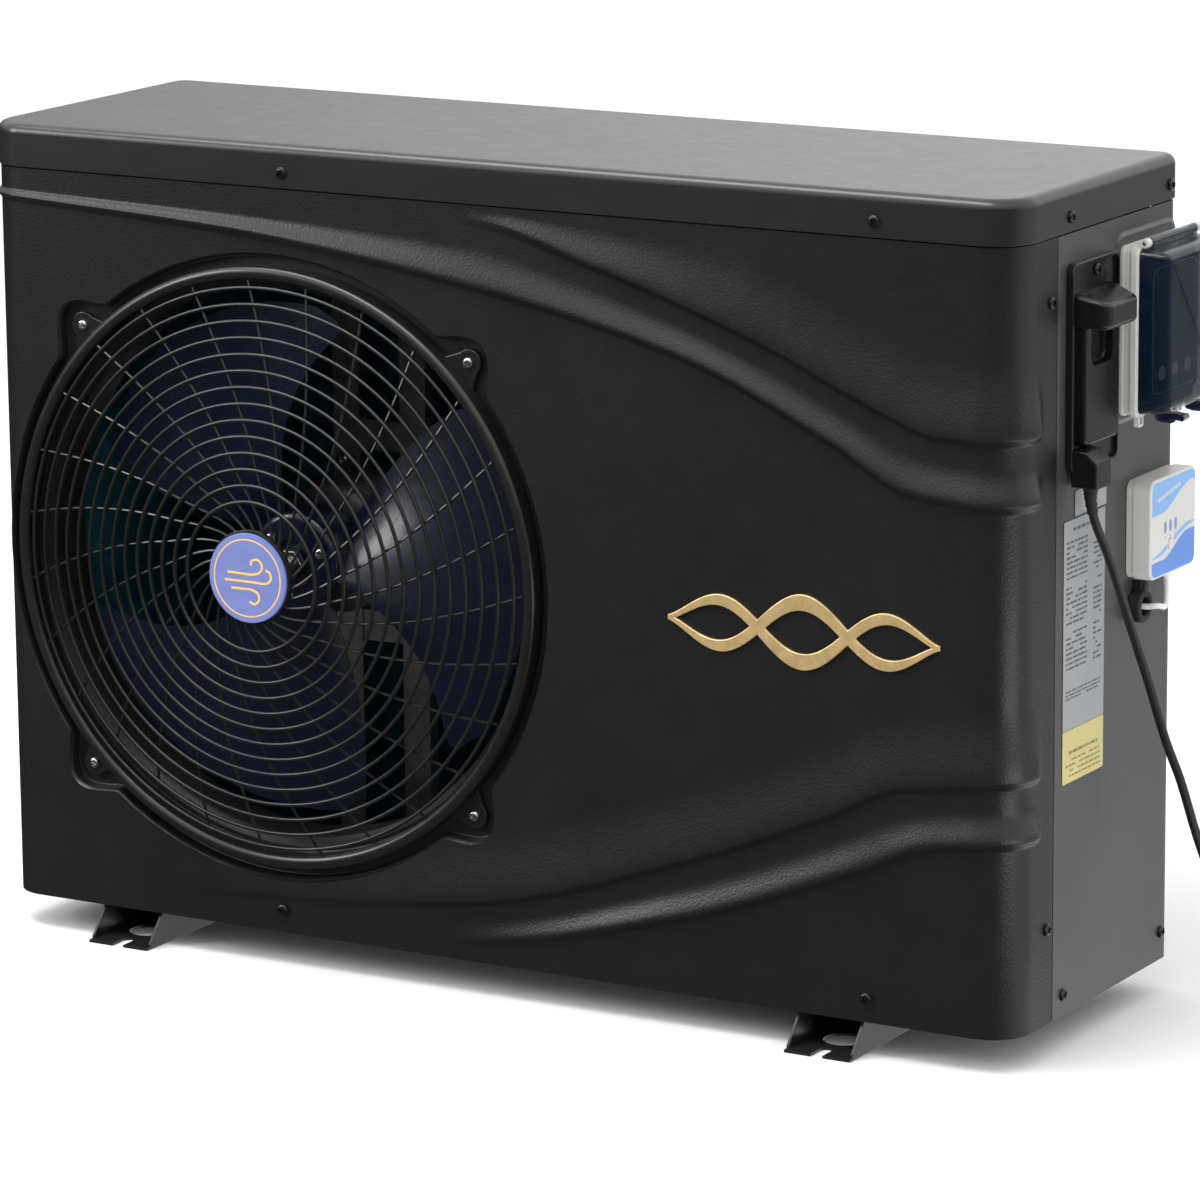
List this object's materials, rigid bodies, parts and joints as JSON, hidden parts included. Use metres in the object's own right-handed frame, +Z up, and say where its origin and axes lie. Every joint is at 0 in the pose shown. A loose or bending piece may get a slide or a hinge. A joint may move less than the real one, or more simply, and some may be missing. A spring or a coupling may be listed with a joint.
{
  "type": "swimming pool heat pump",
  "caption": "Free-standing cased heat pump that warms pool or spa water: one large grilled fan in front, finned coil behind, water unions at the rear and a side control box.",
  "frame": {"origin": "centre of the unit's box (free cord left out) at the level of the floor it stands on", "axes": "+X across the width, the fan looks along -Y, +Z up"},
  "size_m": [1.3654, 0.4118, 0.753],
  "materials": {
    "textured_black": "fine-grained satin black moulded plastic",
    "moulded_black": "smooth satin black plastic",
    "black_steel": "black powder coat",
    "grey_steel": "dark grey powder coat",
    "zinc": "galvanised steel",
    "black_wire": "satin black coated wire",
    "badge_blue": "periwinkle blue disc",
    "blade_navy": "dark navy moulded plastic",
    "motor_grey": "dark grey paint",
    "steel": "bright steel",
    "teal_fins": "blue-green coated aluminium fins",
    "copper": "bare copper tube",
    "compressor_black": "gloss black paint",
    "rubber": "black rubber",
    "shell_white": "off-white rigid plastic",
    "board_green": "green circuit board",
    "white_plastic": "off-white moulded plastic",
    "smoked_clear": "smoked blue clear plastic",
    "white_cable": "white cable sheath",
    "label_grey": "light grey label",
    "label_yellow": "yellow label",
    "gold": "gold coating",
    "cord_black": "black rubber sheath"
  },
  "bodies": {
    "root": {"front_panel": "textured_black", "fan_shroud": "textured_black", "terminal_cover": "moulded_black", "cable_gland": "moulded_black", "top_cover": "black_steel", "base_pan": "black_steel", "foot_rail_left": "black_steel", "foot_rail_right": "black_steel", "rear_coil_guard": "black_steel", "left_coil_guard": "black_steel", "right_side_panel": "grey_steel", "rear_service_panel": "grey_steel", "rear_corner_post": "grey_steel", "partition_panel": "zinc", "motor_bracket": "zinc", "electrical_box": "zinc", "fan_grille": "black_wire", "grille_badge": "badge_blue", "fan_motor": "motor_grey", "lid_hinge_pin": "steel", "evaporator_coil": "teal_fins", "coil_return_bends": "copper", "four_way_valve": "copper", "discharge_pipe": "copper", "suction_pipe": "copper", "expansion_valve": "copper", "compressor": "compressor_black", "suction_accumulator": "compressor_black", "compressor_mount_1": "rubber", "compressor_mount_2": "rubber", "compressor_mount_3": "rubber", "heat_exchanger": "shell_white", "water_inlet_union": "moulded_black", "water_outlet_union": "moulded_black", "control_board": "board_green", "run_capacitor": "white_plastic", "terminal_block": "white_plastic", "control_box_base": "white_plastic", "controller_module": "moulded_black", "wifi_module_base": "white_plastic", "wifi_module_cover": "white_plastic", "cable_entry_bush": "rubber", "wifi_lead": "white_cable", "rating_label": "label_grey", "yellow_label": "label_yellow", "front_emblem": "gold", "power_cord": "cord_black", "power_cord_coil": "cord_black", "power_plug": "moulded_black"},
    "fan": {"fan_impeller": "blade_navy", "motor_shaft": "steel", "fan_nut": "steel"},
    "box_lid": {"control_box_lid": "smoked_clear"},
    "wifi_button": {"wifi_button": "white_plastic"},
    "key_1": {"controller_key_1": "white_plastic"},
    "key_2": {"controller_key_2": "white_plastic"},
    "key_3": {"controller_key_3": "white_plastic"},
    "inlet_nut": {"inlet_union_nut": "moulded_black"},
    "outlet_nut": {"outlet_union_nut": "moulded_black"}
  },
  "joints": [
    {"name": "fan_spin", "type": "hinge", "parent": "root", "child": "fan", "pos_m": [-0.24202, -0.1061, 0.368], "axis": [0, 1, 0], "continuous": true},
    {"name": "lid_hinge", "type": "hinge", "parent": "root", "child": "box_lid", "pos_m": [0.51978, 0.0894, 0.691], "axis": [0, -1, 0], "range_deg": [0, 100]},
    {"name": "wifi_button_press", "type": "slide", "parent": "root", "child": "wifi_button", "axis": [-1, 0, 0], "range_m": [0, 0.001], "stiffness_N_per_m": 400},
    {"name": "key_1_press", "type": "slide", "parent": "root", "child": "key_1", "axis": [-1, 0, 0], "range_m": [0, 0.001], "stiffness_N_per_m": 400},
    {"name": "key_2_press", "type": "slide", "parent": "root", "child": "key_2", "axis": [-1, 0, 0], "range_m": [0, 0.001], "stiffness_N_per_m": 400},
    {"name": "key_3_press", "type": "slide", "parent": "root", "child": "key_3", "axis": [-1, 0, 0], "range_m": [0, 0.001], "stiffness_N_per_m": 400},
    {"name": "inlet_nut_turn", "type": "hinge", "parent": "root", "child": "inlet_nut", "pos_m": [0.18098, 0.1789, 0.131], "axis": [0, 1, 0], "continuous": true},
    {"name": "outlet_nut_turn", "type": "hinge", "parent": "root", "child": "outlet_nut", "pos_m": [0.18098, 0.1789, 0.431], "axis": [0, 1, 0], "continuous": true}
  ]
}
